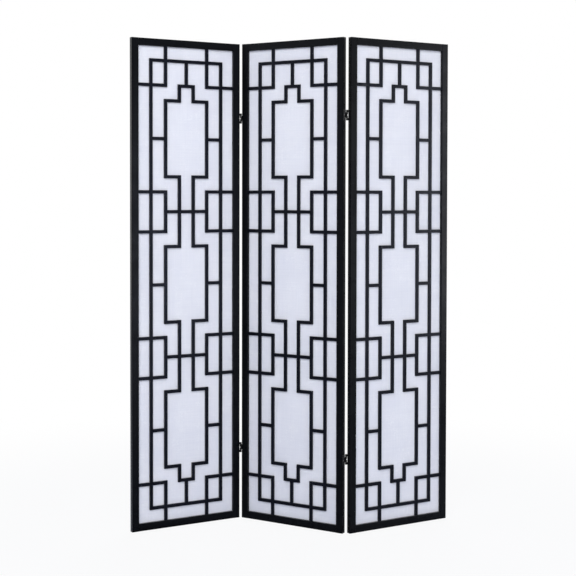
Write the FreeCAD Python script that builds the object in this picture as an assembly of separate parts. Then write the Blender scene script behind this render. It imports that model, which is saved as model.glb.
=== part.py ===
import FreeCAD, Part
import math
import os

# Shoji folding screen.  Three panels stand in a zigzag and fold both ways on slim hinges.
# Each panel is a mortised frame round a lattice of halved bars, backed with paper.
# Millimetres and degrees.  +X runs along the screen, +Y to its back and +Z up.
# The origin is on the floor, under the centre of the middle panel.

# Panels, and how they stand
panel_height = 1785.0
panel_width = 438.0
panel_thickness = 19.0
panel_gap = 8.0             # between two panels opened flat
middle_turn = -32.2         # of the middle panel, from +X
left_fold = 62.3            # of the left panel, from flat, on the front pins
right_fold = 63.4           # of the right panel, from flat, on the rear pins

# Panel frame
stile_width = 27.0
rail_width = 27.0
arris_chamfer = 1.0
tenon_length = 18.0
tenon_thickness = 7.0
tenon_shoulder = 4.0        # of the rail, on both sides of the tenon
mortise_room = 1.0          # beyond the end of the tenon
rebate_width = 6.0

# Lattice bars, and where their centre lines run
bar_width = 12.0
bar_thickness = 7.5
lattice_setback = 3.5       # behind the front of the frame
bar_housing = 3.0           # how deep the bars are let into the frame
border_inset = 50.4         # border bar to the frame's inner edge
tie_run = 58.1              # border bar to the side of a window
neck_half = 28.0            # centre line to a neck
crown_height = 89.5         # end bar to the cap bar
step_rise = 55.0            # end of a window to the bar beyond it
square_half = 72.5          # end of a side square to the cross bar through its middle

# Paper, and the beads that hold it in the rebate
paper_thickness = 0.5
paper_room = 0.5            # between the paper's edge and the rebate
bead_setback = 0.5          # in front of the back of the frame

# Two-way hinges
hinge_height = 38.0
upper_hinge_drop = 278.0    # top of the panel to the middle of the hinge
lower_hinge_rise = 267.0    # floor to the middle of the hinge
leaf_thickness = 1.5
web_thickness = 1.5
pin_offset = 0.75           # pin axis in front of, or behind, the panel's face
pin_radius = 2.0
pin_fit = 0.05              # radial, in every knuckle
barrel_sides = 10           # flats that a barrel is drawn with, inside and out
barrel_room = 0.4           # between a barrel and what turns past it
leaf_knuckle = 9.0
knuckle_room = 0.3          # between knuckles, along the pin
bare_pin = 4.4              # length of pin in view, halfway up

# Hinge screws
screw_head_radius = 2.8
screw_radius = 1.4
screw_length = 14.0
screw_margin = 8.0          # from the end of the leaf
screw_sides = 6

# The panel's middle planes and edges, in its own frame
half_width = panel_width / 2
half_thickness = panel_thickness / 2
half_height = panel_height / 2
opening_half = half_width - stile_width
lattice_front = lattice_setback - half_thickness
lattice_middle = lattice_front + bar_thickness / 2
lattice_back = lattice_front + bar_thickness
paper_back = lattice_back + paper_thickness

# Columns of the lattice, from the centre line
border_column = opening_half - border_inset
side_column = border_column - tie_run
stile_column = opening_half + bar_housing - bar_width / 2

# Rows of the lattice, from the middle of the panel
end_row = half_height - rail_width - border_inset
cap_row = end_row - crown_height
window_half = (cap_row - 3 * step_rise - 2 * square_half) / 3
first_step_row = window_half
first_square_row = first_step_row + step_rise
cross_row = first_square_row + square_half
last_square_row = cross_row + square_half
second_step_row = last_square_row + step_rise
tie_row = second_step_row + window_half
third_step_row = tie_row + window_half
rail_row = half_height - rail_width + bar_housing - bar_width / 2

# Hinge sizes that follow from the others
hinge_x = half_width + panel_gap / 2
pin_y = half_thickness + pin_offset
barrel_radius = panel_gap / 2 - barrel_room
barrel_reach = barrel_radius + barrel_room
knuckle_base = leaf_knuckle + knuckle_room
link_knuckle = hinge_height / 2 - knuckle_base - bare_pin / 2
hinge_rises = {
    "upper": panel_height - upper_hinge_drop - hinge_height / 2,
    "lower": lower_hinge_rise - hinge_height / 2,
}

UP = FreeCAD.Vector(0, 0, 1)
ALONG = FreeCAD.Vector(1, 0, 0)


def box(x, y, z):
    """Box between two limits along each axis, in either order."""
    (x0, x1), (y0, y1), (z0, z1) = sorted(x), sorted(y), sorted(z)
    return Part.makeBox(x1 - x0, y1 - y0, z1 - z0, FreeCAD.Vector(x0, y0, z0))


def ring(radius, sides):
    """Corners of a regular polygon on a circle, the first one repeated at the end."""
    angles = [2 * math.pi * step / sides for step in range(sides)] + [0]
    return [(radius * math.cos(angle), radius * math.sin(angle)) for angle in angles]


def barrel(radius, y, z):
    """Upright bar with flats, its corners on the radius, between two heights."""
    points = [FreeCAD.Vector(x, y + dy, z[0]) for x, dy in ring(radius, barrel_sides)]
    return Part.Face(Part.makePolygon(points)).extrude(FreeCAD.Vector(0, 0, z[1] - z[0]))


def bore(y, z):
    """What is cut from a barrel for its pin, with flats that clear the pin all round."""
    return barrel((pin_radius + pin_fit) / math.cos(math.pi / barrel_sides), y, z)


def moved(shape, x=0, y=0, z=0):
    """Copy of a shape, shifted."""
    copy = shape.copy()
    copy.translate(FreeCAD.Vector(x, y, z))
    return copy


def about_face(shape):
    """Copy of a shape, turned half round about the panel's upright centre line."""
    copy = shape.copy()
    copy.rotate(FreeCAD.Vector(), UP, 180)
    return copy


def upside_down(shape):
    """Copy of a shape, turned over end for end with its front still in front."""
    copy = shape.copy()
    copy.rotate(FreeCAD.Vector(0, 0, half_height), FreeCAD.Vector(0, 1, 0), 180)
    return copy


def eased(solid, direction):
    """The solid with the arrises along one direction taken off."""
    edges = [edge for edge in solid.Edges if abs(edge.tangentAt(0).dot(direction)) > 0.99]
    return solid.makeChamfer(arris_chamfer, edges)


def both_ways(distance):
    """A distance from the centre, and its mirror image."""
    return (-distance, distance)


# ---------------------------------------------------------------- lattice

def upright(column, rows):
    """Outline of an upright bar, from centre line to centre line of the bars that end it."""
    low, high = sorted(rows)
    half = bar_width / 2
    return (column - half, column + half, low - half, high + half)


def crossbar(row, columns):
    """Outline of a level bar, from centre line to centre line of the bars that end it."""
    left, right = sorted(columns)
    half = bar_width / 2
    return (left - half, right + half, row - half, row + half)


def upright_outlines():
    """Borders, sides of the windows and squares, necks, and the short bars on the caps."""
    bars = [upright(x, both_ways(end_row)) for x in both_ways(border_column)]
    side_spans = (
        (first_square_row, last_square_row),
        (second_step_row, third_step_row),
        (cap_row, rail_row),
    )
    neck_spans = (
        (first_step_row, second_step_row),
        (third_step_row, cap_row),
    )
    for x in both_ways(side_column):
        bars.append(upright(x, both_ways(first_step_row)))
    for end in (-1, 1):
        bars.append(upright(0, (end * cap_row, end * end_row)))
        for low, high in side_spans:
            bars += [upright(x, (end * low, end * high)) for x in both_ways(side_column)]
        for low, high in neck_spans:
            bars += [upright(x, (end * low, end * high)) for x in both_ways(neck_half)]
    return bars


def crossbar_outlines():
    """End bars, caps, steps, the bars of the side squares, cross bars and ties."""
    bars = []
    for end in (-1, 1):
        bars.append(crossbar(end * end_row, both_ways(border_column)))
        bars.append(crossbar(end * cap_row, both_ways(neck_half)))
        bars.append(crossbar(end * cross_row, both_ways(side_column)))
        for side in (-1, 1):
            for row in (cap_row, first_square_row, last_square_row):
                bars.append(crossbar(end * row, (side * side_column, side * stile_column)))
            for row in (first_step_row, second_step_row, third_step_row):
                bars.append(crossbar(end * row, (side * neck_half, side * side_column)))
            bars.append(crossbar(end * tie_row, (side * side_column, side * border_column)))
    for side in (-1, 1):
        bars.append(crossbar(0, (side * side_column, side * border_column)))
    return bars


def halved(outline, others, keep):
    """One bar, cut away to half its thickness wherever it meets a bar of the other set."""
    left, right, low, high = outline
    bar = box((left, right), (lattice_front, lattice_back), (low, high))
    lost = (lattice_middle, lattice_back) if keep == "front" else (lattice_front, lattice_middle)
    laps = []
    for other in others:
        x = (max(left, other[0]), min(right, other[1]))
        z = (max(low, other[2]), min(high, other[3]))
        if x[0] < x[1] and z[0] < z[1]:
            laps.append(box(x, lost, z))
    bar = bar.cut(laps).removeSplitter()
    return moved(bar, z=half_height)


def lattice():
    """The two sets of halved bars: uprights keep their front half, crossbars their back."""
    uprights = upright_outlines()
    crossbars = crossbar_outlines()
    return (
        [halved(outline, crossbars, "front") for outline in uprights],
        [halved(outline, uprights, "back") for outline in crossbars],
    )


# ---------------------------------------------------------------- panel frame

def tenon(room=0.0):
    """Tenon at the right end of the bottom rail; with room beyond its end, the mortise for it."""
    height = (tenon_shoulder, rail_width - rebate_width - tenon_shoulder)
    end = opening_half + tenon_length + room
    return box((opening_half, end), both_ways(tenon_thickness / 2), height)


def mortises(side):
    """Mortises for both rails in the stile on the left (-1) or the right (1)."""
    at_right = tenon(mortise_room)
    at_left = about_face(at_right)
    if side > 0:
        return [at_right, upside_down(at_left)]
    return [at_left, upside_down(at_right)]


def rebate():
    """Space in the back of the frame for the paper and its beads."""
    x = both_ways(opening_half + rebate_width)
    z = (rail_width - rebate_width, panel_height - rail_width + rebate_width)
    return box(x, (lattice_back, half_thickness), z)


def housed(member, bars):
    """A frame member with the ends of the bars that reach it let in."""
    reaching = [bar for bar in bars if bar.BoundBox.intersect(member.BoundBox)]
    return member.cut(reaching)


def stile(side, bars, screws):
    """Upright of the frame, full height, on the left (-1) or the right (1)."""
    x = (side * opening_half, side * half_width)
    member = eased(box(x, both_ways(half_thickness), (0, panel_height)), UP)
    member = member.cut([rebate()] + mortises(side) + screws)
    return housed(member, bars)


def bottom_rail(bars):
    """Level member of the frame at the floor, tenoned into both stiles."""
    member = box(both_ways(opening_half), both_ways(half_thickness), (0, rail_width))
    member = eased(member, ALONG).cut(rebate())
    member = member.fuse([tenon(), about_face(tenon())]).removeSplitter()
    return housed(member, bars)


# ---------------------------------------------------------------- paper

def paper():
    """Sheet that covers the opening and lies in the rebate, against the lattice."""
    reach = rebate_width - paper_room
    x = both_ways(opening_half + reach)
    return box(x, (lattice_back, paper_back), (rail_width - reach, panel_height - rail_width + reach))


def bead(length, reach):
    """Mitred strip along X, its inner edge on the axis and its outer edge at the reach."""
    half = length / 2
    corners = [(-half, 0), (half, 0), (half + reach, -reach), (-half - reach, -reach)]
    points = [FreeCAD.Vector(x, paper_back, z) for x, z in corners + corners[:1]]
    depth = half_thickness - bead_setback - paper_back
    return Part.Face(Part.makePolygon(points)).extrude(FreeCAD.Vector(0, depth, 0))


def beads():
    """Four mitred beads, flush with the inner edges of the frame."""
    middle = FreeCAD.Vector(0, 0, half_height)
    strips = []
    for turn, length, distance in (
        (0, 2 * opening_half, half_height - rail_width),
        (90, panel_height - 2 * rail_width, opening_half),
    ):
        for half_turn in (0, 180):
            strip = moved(bead(length, rebate_width), z=half_height - distance)
            strip.rotate(middle, FreeCAD.Vector(0, 1, 0), turn + half_turn)
            strips.append(strip)
    return strips


# ---------------------------------------------------------------- hinges
# A hinge is drawn round its own upright centre line, halfway between the two panels, with
# its foot at height 0.  The left leaf turns on the front pin and the right leaf on the rear.

def screw():
    """Countersunk screw that points to -X, its head flush with the face at x = 0."""
    neck = screw_radius - screw_head_radius
    sections = ((0, screw_head_radius), (neck, screw_radius), (-screw_length, screw_radius))
    outlines = [
        [FreeCAD.Vector(x, y, z) for y, z in ring(radius, screw_sides)]
        for x, radius in sections
    ]
    faces = [Part.Face(Part.makePolygon(ends)) for ends in (outlines[0], outlines[-1][::-1])]
    for near, far in zip(outlines, outlines[1:]):
        for side in range(screw_sides):
            corners = (near[side], far[side], far[side + 1], near[side + 1], near[side])
            faces.append(Part.Face(Part.makePolygon(corners)))
    return Part.makeSolid(Part.makeShell(faces))


def leaf_screws():
    """The screws of a left leaf."""
    x = leaf_thickness - panel_gap / 2
    return [moved(screw(), x=x, z=z) for z in (screw_margin, hinge_height - screw_margin)]


def front_pin():
    """Round pin through the front barrel, flush with its ends."""
    return Part.makeCylinder(pin_radius, hinge_height, FreeCAD.Vector(0, -pin_y, 0), UP)


def left_leaf():
    """Plate on the edge of the panel to the left, with the outer knuckles of the front pin."""
    x = (-panel_gap / 2, leaf_thickness - panel_gap / 2)
    top = hinge_height - leaf_knuckle
    plate = box(x, (-pin_y, pin_y - barrel_reach), (0, hinge_height))
    notch = box(x, (-pin_y, barrel_reach - pin_y), (leaf_knuckle, top))
    spans = ((0, leaf_knuckle), (top, hinge_height))
    solid = plate.cut(notch).fuse([barrel(barrel_radius, -pin_y, span) for span in spans])
    return solid.cut([bore(-pin_y, (0, hinge_height))] + leaf_screws()).removeSplitter()


def link():
    """Web between the two pins, with a pair of knuckles on each and the pins bare between them."""
    top = hinge_height - knuckle_base
    window = (knuckle_base + link_knuckle, top - link_knuckle)
    height = (knuckle_base, top)
    solid = box(both_ways(web_thickness / 2), both_ways(pin_y), height)
    for y in both_ways(pin_y):
        opening = box(both_ways(panel_gap / 2), (y - barrel_reach, y + barrel_reach), window)
        solid = solid.fuse(barrel(barrel_radius, y, height)).cut([bore(y, height), opening])
    return solid.removeSplitter()


# ---------------------------------------------------------------- the screen

def turned_about(x, y, angle):
    """Placement that turns what stands on the floor about an upright axis."""
    return FreeCAD.Placement(FreeCAD.Vector(), FreeCAD.Rotation(UP, angle), FreeCAD.Vector(x, y, 0))


def shifted(x):
    """Placement that moves a panel along X."""
    return FreeCAD.Placement(FreeCAD.Vector(x, 0, 0), FreeCAD.Rotation())


def panel_places():
    """Where each panel stands."""
    pitch = panel_width + panel_gap
    middle = turned_about(0, 0, middle_turn)
    return {
        "left": middle * turned_about(-hinge_x, -pin_y, left_fold) * shifted(-pitch),
        "middle": middle,
        "right": middle * turned_about(hinge_x, pin_y, right_fold) * shifted(pitch),
    }


# The fold at the left and at the right edge of each panel, where it has one
panel_folds = {
    "left": {1: "left"},
    "middle": {-1: "left", 1: "right"},
    "right": {-1: "right"},
}


def on_edge(shape, side, rise):
    """Copy of what is drawn for a hinge's left leaf, on the right or left edge of a panel."""
    copy = moved(shape, x=hinge_x, z=rise)
    return copy if side > 0 else about_face(copy)


def panel_nodes(name, uprights, crossbars):
    """Every piece that is fixed to one panel, in the panel's own frame."""
    bars = uprights + crossbars
    nodes = {}
    screws = []
    for side, edge in ((-1, "left"), (1, "right")):
        edge_screws = []
        if side in panel_folds[name]:
            fold = panel_folds[name][side]
            leaf_name, pin_name = ("left_leaf", "front_pin") if side > 0 else ("right_leaf", "rear_pin")
            for level, rise in hinge_rises.items():
                hinge = f"{fold}_{level}_hinge"
                nodes[f"{hinge}_{leaf_name}"] = on_edge(left_leaf(), side, rise)
                nodes[f"{hinge}_{pin_name}"] = on_edge(front_pin(), side, rise)
                edge_screws += [on_edge(part, side, rise) for part in leaf_screws()]
        nodes[f"{name}_panel_{edge}_stile"] = stile(side, bars, edge_screws)
        screws += edge_screws
    nodes[f"{name}_panel_bottom_rail"] = bottom_rail(bars)
    nodes[f"{name}_panel_top_rail"] = upside_down(bottom_rail(bars))
    nodes[f"{name}_panel_lattice_uprights"] = Part.makeCompound(uprights)
    nodes[f"{name}_panel_lattice_crossbars"] = Part.makeCompound(crossbars)
    nodes[f"{name}_panel_paper"] = paper()
    nodes[f"{name}_panel_paper_beads"] = Part.makeCompound(beads())
    nodes[f"{name}_panel_hinge_screws"] = Part.makeCompound(screws)
    return nodes


def link_nodes():
    """The hinges' links, in the middle panel's frame."""
    return {
        f"{fold}_{level}_hinge_link": on_edge(link(), side, rise)
        for side, fold in panel_folds["middle"].items()
        for level, rise in hinge_rises.items()
    }


def screen_nodes():
    """Every node of the screen, where it stands."""
    uprights, crossbars = lattice()
    places = panel_places()
    groups = [(places[name], panel_nodes(name, uprights, crossbars)) for name in panel_folds]
    groups.append((places["middle"], link_nodes()))
    placed = {}
    for place, nodes in groups:
        for name, shape in nodes.items():
            copy = shape.copy()
            copy.Placement = place * copy.Placement
            placed[name] = copy
    return placed


os.makedirs("parts", exist_ok=True)
for node, shape in screen_nodes().items():
    shape.exportStep(f"parts/{node}.step")
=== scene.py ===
import logging
import math
from dataclasses import dataclass, field
from enum import Enum
from typing import Callable, Iterable, Optional, Sequence

import bmesh
import bpy
from mathutils import Matrix, Vector


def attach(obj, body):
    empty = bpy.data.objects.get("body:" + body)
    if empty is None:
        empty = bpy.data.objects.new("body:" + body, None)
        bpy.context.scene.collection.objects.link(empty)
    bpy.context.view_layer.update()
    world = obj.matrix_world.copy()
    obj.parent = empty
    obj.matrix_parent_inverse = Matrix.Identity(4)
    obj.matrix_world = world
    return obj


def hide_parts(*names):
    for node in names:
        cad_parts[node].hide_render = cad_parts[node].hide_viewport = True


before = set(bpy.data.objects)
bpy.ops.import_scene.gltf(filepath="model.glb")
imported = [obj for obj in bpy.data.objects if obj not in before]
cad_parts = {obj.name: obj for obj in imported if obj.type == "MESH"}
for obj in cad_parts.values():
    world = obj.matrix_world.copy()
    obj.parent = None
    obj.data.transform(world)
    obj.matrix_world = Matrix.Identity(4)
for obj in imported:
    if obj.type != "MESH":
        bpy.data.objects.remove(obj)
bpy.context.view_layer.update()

log = logging.getLogger("folding_screen")

Colour = tuple[float, float, float]
Socket = bpy.types.NodeSocket

PANEL_HEIGHT = 1.785
PANEL_WIDTH = 0.438
PANEL_GAP = 0.008
PIN_Y = 0.01025                 # a pin's axis, in front of or behind a panel's middle
SMOOTH_ANGLE = math.radians(35)  # faces that meet flatter than this are shaded as one
SHARP_ANGLE = math.radians(30)   # edges sharper than this are eased
EASING_FACETS = 2


# ================================================================ places

@dataclass(frozen=True)
class PanelPlace:
    """Where one panel of the screen stands at rest.

    The sizes are in metres and the turns in degrees. A panel's own frame has X across it from
    its left edge to its right edge, Y from its front to its back, and Z up from the floor.
    """

    name: str
    side: int
    fold: float
    middle_turn: float = -32.2
    width: float = PANEL_WIDTH
    gap: float = PANEL_GAP
    pin_y: float = PIN_Y

    @property
    def hinge_x(self) -> float:
        """Centre line of the panel to the centre line of a hinge."""
        return (self.width + self.gap) / 2

    @property
    def turn(self) -> float:
        """Turn of the panel from the row's X axis, in radians."""
        return math.radians(self.middle_turn + self.fold)

    def matrix(self) -> Matrix:
        """The panel's own frame, seen from the row frame."""
        middle = Matrix.Rotation(math.radians(self.middle_turn), 4, "Z")
        if not self.side:
            return middle
        pin = Matrix.Translation((self.side * self.hinge_x, self.side * self.pin_y, 0))
        turned = pin @ Matrix.Rotation(math.radians(self.fold), 4, "Z") @ pin.inverted()
        return middle @ turned @ Matrix.Translation((self.side * (self.width + self.gap), 0, 0))

    def edge(self, side: int, rise: float) -> Matrix:
        """Frame of a hinge on one edge of the panel.

        Args:
            side: 1 for the right edge, -1 for the left one.
            rise: height of the hinge's foot above the floor.

        Returns:
            A frame whose X points away from the panel and whose Z is up.
        """
        half_turn = Matrix.Rotation(math.pi if side < 0 else 0.0, 4, "Z")
        return self.matrix() @ half_turn @ Matrix.Translation((self.hinge_x, 0, rise))


LEFT = PanelPlace("left", -1, 62.3)
MIDDLE = PanelPlace("middle", 0, 0.0)
RIGHT = PanelPlace("right", 1, 63.4)


class Grain(Enum):
    """Which way the grain of a piece of wood runs in its panel."""

    UPRIGHT = "upright"
    LEVEL = "level"


# ================================================================ shading helpers

class Wiring:
    """Adds nodes to one node tree and joins them."""

    def __init__(self, tree: bpy.types.NodeTree) -> None:
        """Keeps the tree.

        Args:
            tree: the material's or the group's tree.
        """
        self.tree = tree

    def add(self, kind: str, **settings: object) -> bpy.types.Node:
        """Adds a node.

        Args:
            kind: the node's Blender type.
            settings: properties of the node.

        Returns:
            The new node.
        """
        node = self.tree.nodes.new(kind)
        for name, value in settings.items():
            setattr(node, name, value)
        return node

    def join(self, source: Socket, target: Socket) -> None:
        """Links two sockets."""
        self.tree.links.new(source, target)

    def feed(self, value: object, target: Socket) -> None:
        """Links a socket, or sets a plain value."""
        if isinstance(value, bpy.types.NodeSocket):
            self.join(value, target)
        else:
            target.default_value = value

    def sums(self, operation: str, *values: object, clamp: bool = False) -> Socket:
        """Arithmetic on sockets and numbers.

        Args:
            operation: the Math node's operation.
            values: sockets or numbers, in order.
            clamp: whether the result stays between 0 and 1.

        Returns:
            The socket that carries the result.
        """
        node = self.add("ShaderNodeMath", operation=operation, use_clamp=clamp)
        for value, target in zip(values, node.inputs):
            self.feed(value, target)
        return node.outputs[0]

    def turned(self, vector: Socket, turn: float = 0.0,
               centre: Sequence[float] = (0, 0, 0),
               scale: Sequence[float] = (1, 1, 1)) -> Socket:
        """Places a pattern with a Mapping node.

        Args:
            vector: the coordinates.
            turn: turn about the upright axis, in radians.
            centre: what is added after the turn.
            scale: scale along each axis, before the turn.

        Returns:
            The placed coordinates.
        """
        node = self.add("ShaderNodeMapping")
        self.join(vector, node.inputs["Vector"])
        node.inputs["Location"].default_value = centre
        node.inputs["Rotation"].default_value = (0, 0, turn)
        node.inputs["Scale"].default_value = scale
        return node.outputs[0]

    def noise(self, vector: Socket, scale: float, detail: float = 2.0,
              roughness: float = 0.5, distortion: float = 0.0) -> Socket:
        """A noise pattern between 0 and 1."""
        node = self.add("ShaderNodeTexNoise")
        self.join(vector, node.inputs["Vector"])
        node.inputs["Scale"].default_value = scale
        node.inputs["Detail"].default_value = detail
        node.inputs["Roughness"].default_value = roughness
        node.inputs["Distortion"].default_value = distortion
        return node.outputs["Fac"]

    def ranged(self, value: Socket, low: float, high: float,
               to_low: float = 0.0, to_high: float = 1.0) -> Socket:
        """Maps a value from one range to another, eased at its ends, and keeps it there."""
        node = self.add("ShaderNodeMapRange", clamp=True)
        node.interpolation_type = "SMOOTHSTEP"
        self.join(value, node.inputs["Value"])
        for name, number in (("From Min", low), ("From Max", high),
                             ("To Min", to_low), ("To Max", to_high)):
            node.inputs[name].default_value = number
        return node.outputs["Result"]

    def blend(self, mask: Socket, first: object, second: object,
              blend_type: str = "MIX") -> Socket:
        """Mixes two colours by a mask.

        Args:
            mask: 0 shows the first and 1 the second.
            first: a colour or a socket.
            second: a colour or a socket.
            blend_type: how the second is laid over the first.

        Returns:
            The mixed colour.
        """
        node = self.add("ShaderNodeMix", data_type="RGBA", blend_type=blend_type)
        self.join(mask, node.inputs[0])
        for value, target in ((first, node.inputs[6]), (second, node.inputs[7])):
            self.feed((*value, 1.0) if isinstance(value, tuple) else value, target)
        return node.outputs[2]

    def group(self, tree: bpy.types.NodeTree, **values: object) -> bpy.types.Node:
        """Places a shared effect and sets its inputs by name."""
        node = self.add("ShaderNodeGroup", node_tree=tree)
        for name, value in values.items():
            self.feed(value, node.inputs[name.replace("_", " ").title()])
        return node


def effect(name: str, inputs: dict[str, Optional[float]],
           outputs: Iterable[str]) -> tuple[Wiring, bpy.types.Node, bpy.types.Node]:
    """Starts a shared effect.

    Args:
        name: the group's name.
        inputs: each input's name, with its default number, or None for a vector.
        outputs: the names of the outputs, all numbers.

    Returns:
        The group's wiring, its input node and its output node.
    """
    tree = bpy.data.node_groups.new(name, "ShaderNodeTree")
    for socket, default in inputs.items():
        kind = "NodeSocketVector" if default is None else "NodeSocketFloat"
        made = tree.interface.new_socket(socket, in_out="INPUT", socket_type=kind)
        if default is not None:
            made.default_value = default
    for socket in outputs:
        tree.interface.new_socket(socket, in_out="OUTPUT", socket_type="NodeSocketFloat")
    wiring = Wiring(tree)
    return wiring, wiring.add("NodeGroupInput"), wiring.add("NodeGroupOutput")


class SharedEffects:
    """The effects that more than one finish uses, each built once."""

    def __init__(self) -> None:
        """Builds every group."""
        self.grain = self._grain()
        # Edge wear; on the lacquer its lighter edges are also a painted arris highlight.
        self.wear_and_highlight = self._wear_and_highlight()
        self.dust = self._dust()
        self.fibres = self._fibres()

    def _grain(self) -> bpy.types.NodeTree:
        """Closed pores and slow waves of a wood that shows through thin lacquer."""
        w, given, out = effect("wood_grain", {"Vector": None, "Pores": 0.5},
                               ("Height", "Tone"))
        long = w.turned(given.outputs["Vector"], scale=(420, 420, 9))
        pores = w.ranged(w.noise(long, 1.0, 3.0, 0.6), 0.56, 0.70)
        figure = w.turned(given.outputs["Vector"], scale=(46, 46, 1.6))
        waves = w.noise(figure, 1.0, 2.0, 0.5, 0.6)
        dips = w.sums("MULTIPLY", pores, given.outputs["Pores"])
        w.join(w.sums("SUBTRACT", waves, dips), out.inputs["Height"])
        w.join(waves, out.inputs["Tone"])
        return w.tree

    def _wear_and_highlight(self) -> bpy.types.NodeTree:
        """Where handling has thinned the finish along the edges; on the lacquer, the same
        lighter edges are also a painted highlight along the arrises.
        """
        w, given, out = effect("edge_wear_and_highlight", {"Vector": None, "Reach": 0.0008, "Amount": 0.5},
                               ("Mask",))
        rounded = w.add("ShaderNodeBevel", samples=4)
        w.join(given.outputs["Reach"], rounded.inputs["Radius"])
        true = w.add("ShaderNodeNewGeometry")
        facing = w.add("ShaderNodeVectorMath", operation="DOT_PRODUCT")
        w.join(rounded.outputs["Normal"], facing.inputs[0])
        w.join(true.outputs["Normal"], facing.inputs[1])
        edge = w.ranged(w.sums("SUBTRACT", 1.0, facing.outputs["Value"]), 0.02, 0.22)
        patches = w.ranged(w.noise(given.outputs["Vector"], 38.0, 4.0, 0.65), 0.38, 0.66)
        worn_and_highlight = w.sums("MULTIPLY", edge, patches)
        w.join(w.sums("MULTIPLY", worn_and_highlight, given.outputs["Amount"], clamp=True),
               out.inputs["Mask"])
        return w.tree

    def _dust(self) -> bpy.types.NodeTree:
        """Fine dust on what faces up."""
        w, given, out = effect("settled_dust", {"Vector": None, "Amount": 0.3}, ("Mask",))
        true = w.add("ShaderNodeNewGeometry")
        split = w.add("ShaderNodeSeparateXYZ")
        w.join(true.outputs["Normal"], split.inputs[0])
        up = w.ranged(split.outputs["Z"], 0.45, 0.98)
        specks = w.ranged(w.noise(given.outputs["Vector"], 260.0, 5.0, 0.7), 0.36, 0.72)
        laid = w.sums("MULTIPLY", up, specks)
        w.join(w.sums("MULTIPLY", laid, given.outputs["Amount"], clamp=True),
               out.inputs["Mask"])
        return w.tree

    def _fibres(self) -> bpy.types.NodeTree:
        """Long plant fibres, the faint weave of the screen they were laid on, and clouds."""
        w, given, out = effect("paper_fibres", {"Vector": None, "Weave": 0.5},
                               ("Fibre", "Streak", "Cloud", "Height"))
        source = given.outputs["Vector"]
        strands: Optional[Socket] = None
        for stretch, scale in (((1.0, 1.0, 0.16), 95.0), ((0.2, 1.0, 1.0), 80.0),
                               ((0.75, 1.0, 0.8), 60.0)):
            field = w.noise(w.turned(source, scale=stretch), scale, 1.5, 0.5, 1.6)
            away = w.sums("ABSOLUTE", w.sums("SUBTRACT", field, 0.5))
            line = w.ranged(away, 0.0, 0.016, 1.0, 0.0)
            strands = line if strands is None else w.sums("MAXIMUM", strands, line)
        patchy = w.ranged(w.noise(source, 21.0, 3.0), 0.42, 0.62)
        fibre = w.sums("MULTIPLY", strands, patchy)
        upright = w.noise(w.turned(source, scale=(330, 1, 7)), 1.0, 2.0)
        level = w.noise(w.turned(source, scale=(7, 1, 330)), 1.0, 2.0)
        streak = w.sums("MULTIPLY", w.sums("ADD", upright, level), 0.5)
        w.join(fibre, out.inputs["Fibre"])
        w.join(streak, out.inputs["Streak"])
        w.join(w.noise(source, 4.5, 3.0, 0.55), out.inputs["Cloud"])
        raised = w.sums("MULTIPLY", streak, given.outputs["Weave"])
        w.join(w.sums("ADD", fibre, raised), out.inputs["Height"])
        return w.tree


# ================================================================ finishes

def blank_material(name: str) -> tuple[bpy.types.Material, Wiring, bpy.types.Node]:
    """A material with one Principled BSDF on its surface.

    Args:
        name: the material's name.

    Returns:
        The material, its wiring and its shader.
    """
    material = bpy.data.materials.new(name)
    material.use_nodes = True
    material.node_tree.nodes.clear()
    wiring = Wiring(material.node_tree)
    shader = wiring.add("ShaderNodeBsdfPrincipled")
    output = wiring.add("ShaderNodeOutputMaterial")
    wiring.join(shader.outputs[0], output.inputs["Surface"])
    return material, wiring, shader


def own_coordinates(wiring: Wiring, place: Optional[PanelPlace] = None,
                    seed: float = 0.0) -> Socket:
    """Object coordinates, turned into a panel's own frame.

    Args:
        wiring: the material's wiring.
        place: the panel, or None for a piece whose finish has no direction.
        seed: shift of the pattern, so that no two panels match.

    Returns:
        The coordinates, in metres.
    """
    position = wiring.add("ShaderNodeTexCoord").outputs["Object"]
    if place is None:
        return position
    back = place.matrix().inverted()
    centre = back.translation + Vector((seed, 0.37 * seed, 0.61 * seed))
    return wiring.turned(position, turn=-place.turn, centre=centre)


def bumped(wiring: Wiring, shader: bpy.types.Node, height: Socket,
           strength: float, distance: float) -> None:
    """Raises a height pattern on a shader's surface."""
    bump = wiring.add("ShaderNodeBump")
    bump.inputs["Strength"].default_value = strength
    bump.inputs["Distance"].default_value = distance
    wiring.join(height, bump.inputs["Height"])
    wiring.join(bump.outputs[0], shader.inputs["Normal"])


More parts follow.
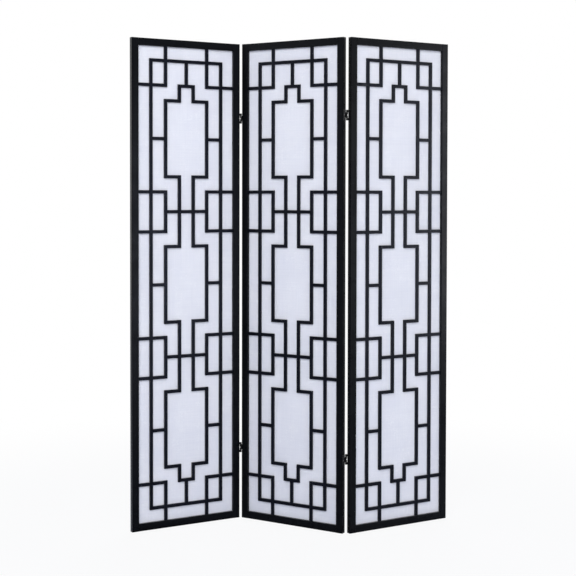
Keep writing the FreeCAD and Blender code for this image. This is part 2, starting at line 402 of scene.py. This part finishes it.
@dataclass(frozen=True)
class Lacquer:
    """Satin black lacquer on wood, thin enough that the grain reads in raking light."""

    name: str
    black: Colour
    lean: Colour
    # Lighter colour on the edges: partly worn lacquer, partly a painted highlight along the
    # arrises.
    worn_and_highlight: Colour
    dust: Colour
    gloss: tuple[float, float]
    sheen: Colour
    pores: float
    relief: float
    # Reach and amount of those lighter edges, wear and painted arris highlight together.
    wear_and_highlight_reach: float = 0.0009
    wear_and_highlight_amount: float = 0.55
    dust_amount: float = 0.16
    dust_dulling: float = 0.9
    bump: float = 0.35

    def material(self, effects: SharedEffects, place: PanelPlace,
                 grain: Grain) -> bpy.types.Material:
        """The lacquer on one panel's wood.

        Args:
            effects: the shared effects.
            place: the panel.
            grain: which way the wood runs.

        Returns:
            The material.
        """
        material, w, shader = blank_material(f"{self.name}_{place.name}_{grain.value}")
        own = own_coordinates(w, place, 1.7 + 2.3 * place.side)
        along = own
        if grain is Grain.LEVEL:
            swap = w.add("ShaderNodeSeparateXYZ")
            w.join(own, swap.inputs[0])
            merged = w.add("ShaderNodeCombineXYZ")
            for source, target in (("Z", "X"), ("Y", "Y"), ("X", "Z")):
                w.join(swap.outputs[source], merged.inputs[target])
            along = merged.outputs[0]
        wood = w.group(effects.grain, vector=along, pores=self.pores)
        wear_and_highlight = w.group(effects.wear_and_highlight, vector=own, reach=self.wear_and_highlight_reach,
                       amount=self.wear_and_highlight_amount)
        dust = w.group(effects.dust, vector=own, amount=self.dust_amount)
        tone = w.ranged(wood.outputs["Tone"], 0.3, 0.7)
        colour = w.blend(tone, self.black, self.lean)
        # Lighter edges: worn lacquer and a painted highlight along the arrises.
        colour = w.blend(wear_and_highlight.outputs["Mask"], colour, self.worn_and_highlight)
        colour = w.blend(dust.outputs["Mask"], colour, self.dust)
        w.join(colour, shader.inputs["Base Color"])
        smears = w.noise(own, 14.0, 4.0, 0.6)
        rough = w.ranged(smears, 0.3, 0.7, *self.gloss)
        dulling = w.sums("MULTIPLY", dust.outputs["Mask"], self.dust_dulling)
        w.join(w.sums("ADD", rough, dulling, clamp=True), shader.inputs["Roughness"])
        shader.inputs["Specular Tint"].default_value = (*self.sheen, 1)
        bumped(w, shader, wood.outputs["Height"], self.bump, self.relief)
        return material


@dataclass(frozen=True)
class Paper:
    """Matt white fibre paper that lets some light through."""

    name: str
    sheet: Colour
    cloud: Colour
    fibre: Colour
    rough: float
    glow: float
    weave: float = 0.35
    streaking: float = 0.15
    fibre_strength: float = 0.5
    fibre_gloss: float = 0.16
    specular: float = 0.18
    scatter_radius: Colour = (1.0, 0.98, 0.94)
    scatter_depth: float = 0.0012
    bump: float = 0.25
    relief: float = 0.00012

    def material(self, effects: SharedEffects, place: PanelPlace) -> bpy.types.Material:
        """The paper of one panel.

        Args:
            effects: the shared effects.
            place: the panel.

        Returns:
            The material.
        """
        material, w, shader = blank_material(f"{self.name}_{place.name}")
        own = own_coordinates(w, place, 5.1 + 1.9 * place.side)
        laid = w.group(effects.fibres, vector=own, weave=self.weave)
        colour = w.blend(w.ranged(laid.outputs["Cloud"], 0.32, 0.68), self.sheet, self.cloud)
        streaks = w.ranged(laid.outputs["Streak"], 0.36, 0.64, 0.0, self.streaking)
        colour = w.blend(streaks, colour, self.cloud, "MULTIPLY")
        strands = w.sums("MULTIPLY", laid.outputs["Fibre"], self.fibre_strength)
        w.join(w.blend(strands, colour, self.fibre), shader.inputs["Base Color"])
        w.join(w.ranged(laid.outputs["Fibre"], 0.0, 1.0, self.rough,
                        self.rough - self.fibre_gloss), shader.inputs["Roughness"])
        shader.inputs["Specular IOR Level"].default_value = self.specular
        shader.inputs["Subsurface Weight"].default_value = self.glow
        shader.inputs["Subsurface Radius"].default_value = self.scatter_radius
        shader.inputs["Subsurface Scale"].default_value = self.scatter_depth
        bumped(w, shader, laid.outputs["Height"], self.bump, self.relief)
        return material


@dataclass(frozen=True)
class HingePaint:
    """Baked black paint on steel, rubbed bright where the knuckles turn."""

    name: str
    paint: Colour
    bare: Colour
    rough: tuple[float, float]
    specular: float
    dust: Colour = (0.11, 0.11, 0.11)
    dust_amount: float = 0.2
    wear_and_highlight_reach: float = 0.0005
    wear_and_highlight_amount: float = 0.4
    bump: float = 0.3
    relief: float = 0.00004

    def material(self, effects: SharedEffects) -> bpy.types.Material:
        """The paint.

        Args:
            effects: the shared effects.

        Returns:
            The material.
        """
        material, w, shader = blank_material(self.name)
        own = own_coordinates(w)
        wear_and_highlight = w.group(effects.wear_and_highlight, vector=own, reach=self.wear_and_highlight_reach,
                       amount=self.wear_and_highlight_amount)
        dust = w.group(effects.dust, vector=own, amount=self.dust_amount)
        colour = w.blend(wear_and_highlight.outputs["Mask"], self.paint, self.bare)
        colour = w.blend(dust.outputs["Mask"], colour, self.dust)
        w.join(colour, shader.inputs["Base Color"])
        w.join(w.ranged(wear_and_highlight.outputs["Mask"], 0.25, 0.75), shader.inputs["Metallic"])
        w.join(w.ranged(w.noise(own, 160.0, 3.0), 0.3, 0.7, *self.rough),
               shader.inputs["Roughness"])
        shader.inputs["Specular IOR Level"].default_value = self.specular
        bumped(w, shader, w.noise(own, 900.0, 2.0), self.bump, self.relief)
        return material


@dataclass(frozen=True)
class TurnedSteel:
    """Dark oiled steel with the fine rings that turning leaves."""

    name: str
    steel: Colour
    stain: Colour
    rough: tuple[float, float]
    rubbed: Colour = (0.24, 0.24, 0.25)
    wear_and_highlight_reach: float = 0.0004
    wear_and_highlight_amount: float = 0.6
    bump: float = 0.3
    relief: float = 0.00003

    def material(self, effects: SharedEffects) -> bpy.types.Material:
        """The steel.

        Args:
            effects: the shared effects.

        Returns:
            The material.
        """
        material, w, shader = blank_material(self.name)
        own = own_coordinates(w)
        rings = w.noise(w.turned(own, scale=(30, 30, 5200)), 1.0, 3.0, 0.6)
        stains = w.ranged(w.noise(own, 420.0, 4.0, 0.65), 0.35, 0.7)
        wear_and_highlight = w.group(effects.wear_and_highlight, vector=own, reach=self.wear_and_highlight_reach,
                       amount=self.wear_and_highlight_amount)
        colour = w.blend(stains, self.steel, self.stain)
        colour = w.blend(wear_and_highlight.outputs["Mask"], colour, self.rubbed)
        w.join(colour, shader.inputs["Base Color"])
        shader.inputs["Metallic"].default_value = 1.0
        w.join(w.ranged(rings, 0.3, 0.7, *self.rough), shader.inputs["Roughness"])
        bumped(w, shader, rings, self.bump, self.relief)
        return material


# Each lacquer's lighter edge colour is partly wear and partly a painted arris highlight.
FRAME_LACQUER = Lacquer(
    name="frame_lacquer", black=(0.0016, 0.0018, 0.0025), lean=(0.0032, 0.0036, 0.0047),
    worn_and_highlight=(0.036, 0.037, 0.041), dust=(0.10, 0.10, 0.105), gloss=(0.24, 0.36),
    sheen=(0.061, 0.066, 0.082), pores=0.55, relief=0.00010)
LATTICE_LACQUER = Lacquer(
    name="lattice_lacquer", black=(0.0018, 0.0023, 0.0046), lean=(0.0036, 0.0045, 0.0084),
    worn_and_highlight=(0.030, 0.034, 0.044), dust=(0.10, 0.10, 0.11), gloss=(0.28, 0.40),
    sheen=(0.080, 0.088, 0.120), pores=0.40, relief=0.00007)
PAPER = Paper(
    name="paper", sheet=(0.770, 0.784, 0.860), cloud=(0.732, 0.748, 0.832),
    fibre=(0.86, 0.875, 0.93), rough=0.86, glow=0.35)
HINGE_BLACK = HingePaint(
    name="hinge_black", paint=(0.0040, 0.0041, 0.0048), bare=(0.13, 0.13, 0.14),
    rough=(0.28, 0.40), specular=0.16)
PIN_STEEL = TurnedSteel(
    name="pin_steel", steel=(0.085, 0.085, 0.090), stain=(0.034, 0.033, 0.032),
    rough=(0.26, 0.40))


# ================================================================ modelling helpers

def deselect() -> None:
    """Leaves every object unselected, in object mode."""
    if bpy.context.object and bpy.context.object.mode != "OBJECT":
        bpy.ops.object.mode_set(mode="OBJECT")
    bpy.ops.object.select_all(action="DESELECT")


def activate(obj: bpy.types.Object) -> None:
    """Makes one object the only selected one, and the active one."""
    deselect()
    obj.select_set(True)
    bpy.context.view_layer.objects.active = obj


def edit(obj: bpy.types.Object, faces: Optional[Callable[[bmesh.types.BMFace], bool]] = None,
         edges: Optional[Callable[[bmesh.types.BMEdge], bool]] = None) -> None:
    """Opens an object in edit mode with chosen faces or edges selected.

    Args:
        obj: the object.
        faces: which faces are selected.
        edges: which edges are selected, where no faces are named.
    """
    activate(obj)
    bpy.ops.object.mode_set(mode="EDIT")
    bpy.ops.mesh.select_mode(type="FACE" if faces else "EDGE")
    bpy.ops.mesh.select_all(action="DESELECT")
    mesh = bmesh.from_edit_mesh(obj.data)
    chosen = faces or edges
    for item in (mesh.faces if faces else mesh.edges):
        item.select_set(bool(chosen and chosen(item)))
    mesh.select_flush_mode()
    bmesh.update_edit_mesh(obj.data)


def close_edit() -> None:
    """Goes back to object mode."""
    bpy.ops.object.mode_set(mode="OBJECT")


def block(name: str, low: Sequence[float], high: Sequence[float]) -> bpy.types.Object:
    """A block between two corners, with its place in its mesh.

    Args:
        name: the object's name.
        low: its lowest corner.
        high: its highest corner.

    Returns:
        The block.
    """
    deselect()
    middle = [(a + b) / 2 for a, b in zip(low, high)]
    bpy.ops.mesh.primitive_cube_add(size=1, location=middle)
    obj = bpy.context.object
    obj.name = obj.data.name = name
    obj.scale = [b - a for a, b in zip(low, high)]
    bpy.ops.object.transform_apply(location=True, rotation=True, scale=True)
    return obj


def softened(obj: bpy.types.Object, width: float) -> bpy.types.Object:
    """Rounds every sharp edge of a piece.

    Args:
        obj: the piece.
        width: how wide the rounding is, in metres.

    Returns:
        The piece.
    """
    activate(obj)
    bevel = obj.modifiers.new("softened", "BEVEL")
    bevel.limit_method = "ANGLE"
    bevel.angle_limit = SHARP_ANGLE
    bevel.width = width
    bevel.segments = EASING_FACETS
    bevel.use_clamp_overlap = True
    bpy.ops.object.modifier_apply(modifier=bevel.name)
    return obj


def copied_node(node: str, name: str) -> bpy.types.Object:
    """A merged copy of a solid piece, ready to be shaped.

    Args:
        node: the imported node.
        name: the copy's name.

    Returns:
        The copy, with its flat faces whole.
    """
    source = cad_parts[node]
    obj = bpy.data.objects.new(name, source.data.copy())
    obj.data.name = name
    obj.data.materials.clear()
    bpy.context.scene.collection.objects.link(obj)
    edit(obj, faces=lambda face: True)
    bpy.ops.mesh.remove_doubles(threshold=0.000002)
    bpy.ops.mesh.dissolve_limited(angle_limit=math.radians(0.5))
    bpy.ops.mesh.customdata_custom_splitnormals_clear()
    close_edit()
    return obj


def joined(parts: Sequence[bpy.types.Object], name: str) -> bpy.types.Object:
    """Joins parts into one piece.

    Args:
        parts: the parts, which are used up.
        name: the piece's name.

    Returns:
        The piece.
    """
    deselect()
    for part in parts:
        part.select_set(True)
    bpy.context.view_layer.objects.active = parts[0]
    if len(parts) > 1:
        bpy.ops.object.join()
    obj = bpy.context.object
    obj.name = obj.data.name = name
    return obj


def copy_of(obj: bpy.types.Object, name: str, place: Matrix) -> bpy.types.Object:
    """A copy with its own mesh, placed in its mesh.

    Args:
        obj: what is copied.
        name: the copy's name.
        place: where it goes.

    Returns:
        The copy.
    """
    made = bpy.data.objects.new(name, obj.data.copy())
    made.data.name = name
    made.data.transform(place)
    bpy.context.scene.collection.objects.link(made)
    return made


def dressed(obj: bpy.types.Object, material: bpy.types.Material, body: str,
            nodes: Sequence[str]) -> None:
    """Gives a finished piece its finish, its body and the nodes it stands for.

    Args:
        obj: the piece.
        material: its finish.
        body: the body it moves with.
        nodes: the nodes that it replaces.
    """
    obj.data.materials.clear()
    obj.data.materials.append(material)
    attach(obj, body)
    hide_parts(*nodes)
    log.info("%s on %s: %d faces", obj.name, body, len(obj.data.polygons))


# ================================================================ sub-assemblies

@dataclass
class FramedPanel:
    """One panel: two stiles, two rails, a halved lattice, beads and a sheet of paper."""

    place: PanelPlace
    effects: SharedEffects
    frame_rounding: float = 0.0006
    bar_rounding: float = 0.0005
    bead_rounding: float = 0.0004

    @property
    def body(self) -> str:
        """The body that the panel is."""
        return f"{self.place.name}_panel"

    def wood(self, node: str, rounding: float, finish: Lacquer, grain: Grain,
             slot: str) -> None:
        """Builds a wooden piece with its edges eased, as sanding and lacquer leave them.

        Args:
            node: the node it stands for, without the panel's name.
            rounding: how wide its eased edges are.
            finish: its lacquer.
            grain: which way its grain runs.
            slot: the record's material slot; not used.
        """
        full = f"{self.body}_{node}"
        obj = softened(copied_node(full, f"{full}_eased"), rounding)
        material = finish.material(self.effects, self.place, grain)
        dressed(obj, material, self.body, [full])

    def build(self) -> None:
        """Builds the wood and dresses the paper."""
        for node in ("left_stile", "right_stile"):
            self.wood(node, self.frame_rounding, FRAME_LACQUER, Grain.UPRIGHT, "frame_lacquer")
        for node in ("top_rail", "bottom_rail"):
            self.wood(node, self.frame_rounding, FRAME_LACQUER, Grain.LEVEL, "frame_lacquer")
        for node, grain in (("lattice_uprights", Grain.UPRIGHT),
                            ("lattice_crossbars", Grain.LEVEL)):
            self.wood(node, self.bar_rounding, LATTICE_LACQUER, grain, "lattice_lacquer")
        self.wood("paper_beads", self.bead_rounding, FRAME_LACQUER, Grain.UPRIGHT,
                  "frame_lacquer")
        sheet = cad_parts[f"{self.body}_paper"]
        sheet.data.materials.clear()
        sheet.data.materials.append(PAPER.material(self.effects, self.place))


@dataclass
class TwoWayHinge:
    """A hinge with two pins, so that a fold goes either way.

    Its own frame stands halfway between two panels: X points from the left panel to the
    right one, Y to the back, and Z up from the hinge's foot.
    """

    paint: bpy.types.Material
    steel: bpy.types.Material
    height: float = 0.038
    upper_drop: float = 0.278
    lower_rise: float = 0.267
    gap: float = PANEL_GAP
    pin_y: float = PIN_Y
    barrel_radius: float = 0.0036
    barrel_reach: float = 0.0040
    pin_radius: float = 0.0020
    bore_radius: float = 0.00205
    leaf: float = 0.0015
    web: float = 0.0015
    leaf_knuckle: float = 0.009
    knuckle_room: float = 0.0003
    bare_pin: float = 0.0044
    screw_margin: float = 0.008
    screw_radius: float = 0.0028
    edge_easing: float = 0.0003
    rim_easing: float = 0.00035
    pin_crown: float = 0.0007
    overlap: float = 0.0004
    round_steps: int = 32
    screw_steps: int = 24
    head_depth: float = 0.0004
    head_sunk: float = 0.00005      # middle of the head, behind the leaf's face
    head_rim: float = 0.0005
    head_rise: float = 0.00012
    recess_half: float = 0.00042
    recess_reach: float = 0.62      # length of a recess arm, of the head's radius
    patterns: dict[str, bpy.types.Object] = field(default_factory=dict)

    def knuckle(self, y: float, low: float, high: float) -> bpy.types.Object:
        """A round bored knuckle with eased rims, spun from its section.

        Args:
            y: where its axis stands.
            low: its lower end.
            high: its upper end.

        Returns:
            The knuckle.
        """
        wall = (self.bore_radius + self.barrel_radius) / 2
        deselect()
        bpy.ops.mesh.primitive_plane_add(size=1, location=(wall, y, (low + high) / 2),
                                         rotation=(math.pi / 2, 0, 0))
        obj = bpy.context.object
        obj.scale = (self.barrel_radius - self.bore_radius, high - low, 1)
        bpy.ops.object.transform_apply(location=True, rotation=True, scale=True)
        edit(obj, faces=lambda face: True)
        bpy.ops.mesh.bevel(offset=self.rim_easing, segments=2, affect="VERTICES")
        bpy.ops.mesh.select_all(action="SELECT")
        bpy.ops.mesh.spin(steps=self.round_steps, angle=2 * math.pi, center=(0, y, 0),
                          axis=(0, 0, 1))
        bpy.ops.mesh.select_all(action="SELECT")
        bpy.ops.mesh.remove_doubles(threshold=0.000003)
        bpy.ops.mesh.normals_make_consistent(inside=False)
        close_edit()
        mesh = bmesh.new()
        mesh.from_mesh(obj.data)
        inner = [face for face in mesh.faces
                 if all(abs(vert.co.y - y) < 1e-7 for vert in face.verts)]
        bmesh.ops.delete(mesh, geom=inner, context="FACES")
        bmesh.ops.recalc_face_normals(mesh, faces=mesh.faces)
        mesh.to_mesh(obj.data)
        mesh.free()
        activate(obj)
        bpy.ops.object.shade_smooth_by_angle(angle=SMOOTH_ANGLE)
        return obj

    def left_leaf(self) -> bpy.types.Object:
        """The leaf on the left panel's edge, with the outer knuckles of the front pin."""
        x = (-self.gap / 2, self.leaf - self.gap / 2)
        top = self.height - self.leaf_knuckle
        reach = self.barrel_reach - self.pin_y
        parts = [softened(block("leaf", (x[0], reach, 0), (x[1], -reach, self.height)),
                          self.edge_easing)]
        for low, high in ((0, self.leaf_knuckle), (top, self.height)):
            tongue = block("tongue", (x[0], -self.pin_y, low),
                           (x[1], reach + self.overlap, high))
            parts.append(softened(tongue, self.edge_easing))
            parts.append(self.knuckle(-self.pin_y, low, high))
        return joined(parts, "left_leaf")

    def link(self) -> bpy.types.Object:
        """The link between the two pins, with the pins bare at its middle."""
        base = self.leaf_knuckle + self.knuckle_room
        tall = (self.height - 2 * base - self.bare_pin) / 2
        top = self.height - base
        reach = self.pin_y - self.barrel_reach
        parts = [softened(block("web", (-self.web / 2, -reach, base),
                                (self.web / 2, reach, top)), self.edge_easing)]
        for side in (-1, 1):
            for low, high in ((base, base + tall), (top - tall, top)):
                ends = sorted((side * (reach - self.overlap), side * self.pin_y))
                arm = block("arm", (-self.web / 2, ends[0], low),
                            (self.web / 2, ends[1], high))
                parts.append(softened(arm, self.edge_easing))
                parts.append(self.knuckle(side * self.pin_y, low, high))
        return joined(parts, "link")

    def front_pin(self) -> bpy.types.Object:
        """The front pin, its ends slightly crowned inside the barrel's length."""
        deselect()
        bpy.ops.mesh.primitive_cylinder_add(vertices=self.round_steps, radius=self.pin_radius,
                                            depth=self.height,
                                            location=(0, -self.pin_y, self.height / 2))
        obj = bpy.context.object
        bpy.ops.object.transform_apply(location=True, rotation=True, scale=True)
        edit(obj, edges=lambda edge: abs(edge.verts[0].co.z - edge.verts[1].co.z) < 1e-6)
        bpy.ops.mesh.bevel(offset=self.pin_crown, segments=4, affect="EDGES")
        close_edit()
        activate(obj)
        bpy.ops.object.shade_smooth_by_angle(angle=SMOOTH_ANGLE)
        return joined([obj], "front_pin")

    def screw_head(self) -> bpy.types.Object:
        """A screw's head with a cross recess, its rim 0.15 mm proud of the leaf."""
        face = self.leaf - self.gap / 2
        deselect()
        bpy.ops.mesh.primitive_cylinder_add(vertices=self.screw_steps, radius=self.screw_radius,
                                            depth=self.head_depth,
                                            rotation=(0, math.pi / 2, 0),
                                            location=(face - self.head_sunk, 0, 0))
        disc = bpy.context.object
        bpy.ops.object.transform_apply(location=True, rotation=True, scale=True)
        edit(disc, faces=lambda face: face.normal.x > 0.9)
        bpy.ops.mesh.inset(thickness=self.head_rim)
        bpy.ops.transform.translate(value=(self.head_rise, 0, 0))
        close_edit()
        arm = self.screw_radius * self.recess_reach
        for wide, tall in ((arm, self.recess_half), (self.recess_half, arm)):
            cut = block("recess", (face - self.head_depth, -wide, -tall),
                        (face + 0.001, wide, tall))
            activate(disc)
            carve = disc.modifiers.new("recess", "BOOLEAN")
            carve.operation = "DIFFERENCE"
            carve.solver = "EXACT"
            carve.object = cut
            bpy.ops.object.modifier_apply(modifier=carve.name)
            bpy.data.objects.remove(cut)
        return joined([disc], "screw_head")

    def build(self, fold: str, level: str, rise: float, left: PanelPlace,
              right: PanelPlace) -> None:
        """Places one hinge's five pieces.

        Args:
            fold: which fold the hinge is on.
            level: upper or lower.
            rise: height of the hinge's foot.
            left: the panel to the left of the fold.
            right: the panel to its right.
        """
        hinge = f"{fold}_{level}_hinge"
        on_left, on_right = left.edge(1, rise), right.edge(-1, rise)
        centre = MIDDLE.edge(1 if fold == "right" else -1, rise)
        for pattern, kind, place, body, finish, slot in (
            (self.patterns["leaf"], "left_leaf", on_left, f"{left.name}_panel",
             self.paint, "hinge_black"),
            (self.patterns["leaf"], "right_leaf", on_right, f"{right.name}_panel",
             self.paint, "hinge_black"),
            (self.patterns["link"], "link", centre, f"{fold}_fold_links",
             self.paint, "hinge_black"),
            (self.patterns["pin"], "front_pin", on_left, f"{left.name}_panel",
             self.steel, "pin_steel"),
            (self.patterns["pin"], "rear_pin", on_right, f"{right.name}_panel",
             self.steel, "pin_steel"),
        ):
            node = f"{hinge}_{kind}"
            dressed(copy_of(pattern, f"{node}_formed", place), finish, body, [node])

    def build_screws(self, panel: PanelPlace, sides: Sequence[int],
                     rises: Sequence[float]) -> None:
        """Places the heads of one panel's hinge screws, as one piece.

        Args:
            panel: the panel.
            sides: its edges that have hinges.
            rises: heights of the hinges' feet.
        """
        heads = []
        for side in sides:
            for rise in rises:
                for z in (self.screw_margin, self.height - self.screw_margin):
                    place = panel.edge(side, rise) @ Matrix.Translation((0, 0, z))
                    heads.append(copy_of(self.patterns["screw"], "head", place))
        node = f"{panel.name}_panel_hinge_screws"
        dressed(joined(heads, f"{node}_driven"), self.steel,
                f"{panel.name}_panel", [node])

    def rises(self) -> dict[str, float]:
        """Heights of the hinges' feet above the floor."""
        return {"upper": PANEL_HEIGHT - self.upper_drop - self.height / 2,
                "lower": self.lower_rise - self.height / 2}

    def make_patterns(self) -> None:
        """Models each kind of piece once."""
        self.patterns = {"leaf": self.left_leaf(), "link": self.link(),
                         "pin": self.front_pin(), "screw": self.screw_head()}

    def clear_patterns(self) -> None:
        """Removes the patterns, once every copy is placed."""
        for pattern in self.patterns.values():
            bpy.data.objects.remove(pattern)


@dataclass
class Studio:
    """A pale floor, soft light and the camera."""

    floor_half: float = 9.0
    daylight: float = 0.40
    lens: float = 79.347
    sensor: float = 36.0
    shift: tuple[float, float] = (-0.00087, -0.10503)
    stand: tuple[float, float, float] = (-0.025844, -4.668518, 1.222586)
    yaw: float = -0.00237           # camera turns, in radians
    pitch: float = -0.026088        # from level, downwards is negative
    roll: float = 0.001691

    def sky(self) -> None:
        """White for the camera and in reflections, and soft light for everything else."""
        world = bpy.data.worlds.new("studio")
        bpy.context.scene.world = world
        world.use_nodes = True
        world.node_tree.nodes.clear()
        w = Wiring(world.node_tree)
        path = w.add("ShaderNodeLightPath")
        seen = w.sums("MAXIMUM", path.outputs["Is Camera Ray"],
                      w.sums("MAXIMUM", path.outputs["Is Glossy Ray"],
                             path.outputs["Is Transmission Ray"]))
        soft, white = w.add("ShaderNodeBackground"), w.add("ShaderNodeBackground")
        for light, strength in ((soft, self.daylight), (white, 1.0)):
            light.inputs["Color"].default_value = (1, 1, 1, 1)
            light.inputs["Strength"].default_value = strength
        mix = w.add("ShaderNodeMixShader")
        w.join(seen, mix.inputs[0])
        w.join(soft.outputs[0], mix.inputs[1])
        w.join(white.outputs[0], mix.inputs[2])
        out = w.add("ShaderNodeOutputWorld")
        w.join(mix.outputs[0], out.inputs["Surface"])

    def floor(self) -> None:
        """A pale floor that keeps a trace of the screen's shadow."""
        deselect()
        bpy.ops.mesh.primitive_plane_add(size=2 * self.floor_half, location=(0, 0, 0))
        obj = bpy.context.object
        obj.name = obj.data.name = "floor"
        material, w, shader = blank_material("pale_floor")
        shader.inputs["Base Color"].default_value = (0.72, 0.76, 0.87, 1)
        shader.inputs["Roughness"].default_value = 0.9
        shader.inputs["Specular IOR Level"].default_value = 0.1
        path = w.add("ShaderNodeLightPath")
        glow = w.add("ShaderNodeEmission")
        mix = w.add("ShaderNodeMixShader")
        away = w.add("ShaderNodeVectorMath", operation="LENGTH")
        w.join(w.add("ShaderNodeTexCoord").outputs["Object"], away.inputs[0])
        clear = w.ranged(away.outputs["Value"], 0.9, 2.6, 0.9, 1.0)
        w.join(w.sums("MULTIPLY", path.outputs["Is Camera Ray"], clear), mix.inputs[0])
        w.join(shader.outputs[0], mix.inputs[1])
        w.join(glow.outputs[0], mix.inputs[2])
        out = next(n for n in w.tree.nodes if n.type == "OUTPUT_MATERIAL")
        w.join(mix.outputs[0], out.inputs["Surface"])
        obj.data.materials.append(material)

    def soft_box(self, name: str, place: Sequence[float], target: Sequence[float],
                 size: tuple[float, float], power: float,
                 only_mirrored: bool = False) -> None:
        """A rectangular lamp.

        Args:
            name: its name.
            place: where it hangs.
            target: what it points at.
            size: its width and height.
            power: its strength, in watts.
            only_mirrored: whether it is seen in the lacquer and lights nothing else.
        """
        data = bpy.data.lights.new(name, "AREA")
        data.shape = "RECTANGLE"
        data.size, data.size_y = size
        data.energy = power
        obj = bpy.data.objects.new(name, data)
        bpy.context.scene.collection.objects.link(obj)
        obj.location = place
        aim = Vector(target) - Vector(place)
        obj.rotation_euler = aim.to_track_quat("-Z", "Y").to_euler()
        obj.visible_diffuse = not only_mirrored

    def lamps(self) -> None:
        """Large lamps at the front, back and right, and cards that the lacquer mirrors."""
        self.soft_box("front_lamp", (-0.5, -4.3, 3.3), (0, 0, 1.1), (3.4, 2.2), 142)
        self.soft_box("back_lamp", (0.6, 4.4, 3.4), (0, 0, 1.0), (3.4, 2.2), 90)
        self.soft_box("side_lamp", (3.0, -3.20, 0.90), (-0.4, -0.2, 0.90), (0.95, 1.7), 26)
        for name, place, target, size, power in (
            ("right_card", (3.0, -0.62, 1.20), (0.5, 0.2, 1.0), (0.70, 1.7), 22),
            ("lattice_card", (3.0, -2.48, 0.75), (-0.4, -0.1, 0.85), (0.50, 1.4), 19),
            ("left_card", (-3.0, -1.20, 1.55), (-0.2, 0.1, 1.2), (0.45, 1.5), 6),
        ):
            self.soft_box(name, place, target, size, power, only_mirrored=True)

    def camera(self) -> None:
        """The camera, fitted to the photograph, with less shift than the closest fit has."""
        data = bpy.data.cameras.new("camera")
        obj = bpy.data.objects.new("camera", data)
        bpy.context.scene.collection.objects.link(obj)
        data.sensor_fit = "HORIZONTAL"
        data.sensor_width = self.sensor
        data.lens = self.lens
        data.shift_x, data.shift_y = self.shift
        look = (Matrix.Rotation(self.yaw, 4, "Z")
                @ Matrix.Rotation(math.pi / 2 + self.pitch, 4, "X")
                @ Matrix.Rotation(self.roll, 4, "Z"))
        obj.matrix_world = Matrix.Translation(self.stand) @ look
        bpy.context.scene.camera = obj

    def build(self) -> None:
        """Builds the studio."""
        bpy.context.scene.view_settings.view_transform = "Standard"
        self.sky()
        self.floor()
        self.lamps()
        self.camera()


def write_size() -> None:
    """Brings the view layer up to date."""
    bpy.context.view_layer.update()


def main() -> None:
    """Builds the studio and the screen, in order."""
    logging.basicConfig(level=logging.INFO, format="%(message)s")
    Studio().build()
    effects = SharedEffects()
    for place in (LEFT, MIDDLE, RIGHT):
        FramedPanel(place, effects).build()
        log.info("%s panel done", place.name)
    hinge = TwoWayHinge(HINGE_BLACK.material(effects), PIN_STEEL.material(effects))
    hinge.make_patterns()
    rises = hinge.rises()
    for fold, left, right in (("left", LEFT, MIDDLE), ("right", MIDDLE, RIGHT)):
        for level, rise in rises.items():
            hinge.build(fold, level, rise, left, right)
    for panel, sides in ((LEFT, (1,)), (MIDDLE, (-1, 1)), (RIGHT, (-1,))):
        hinge.build_screws(panel, sides, tuple(rises.values()))
    hinge.clear_patterns()
    log.info("hinges done")
    write_size()


if __name__ == "__main__":
    main()
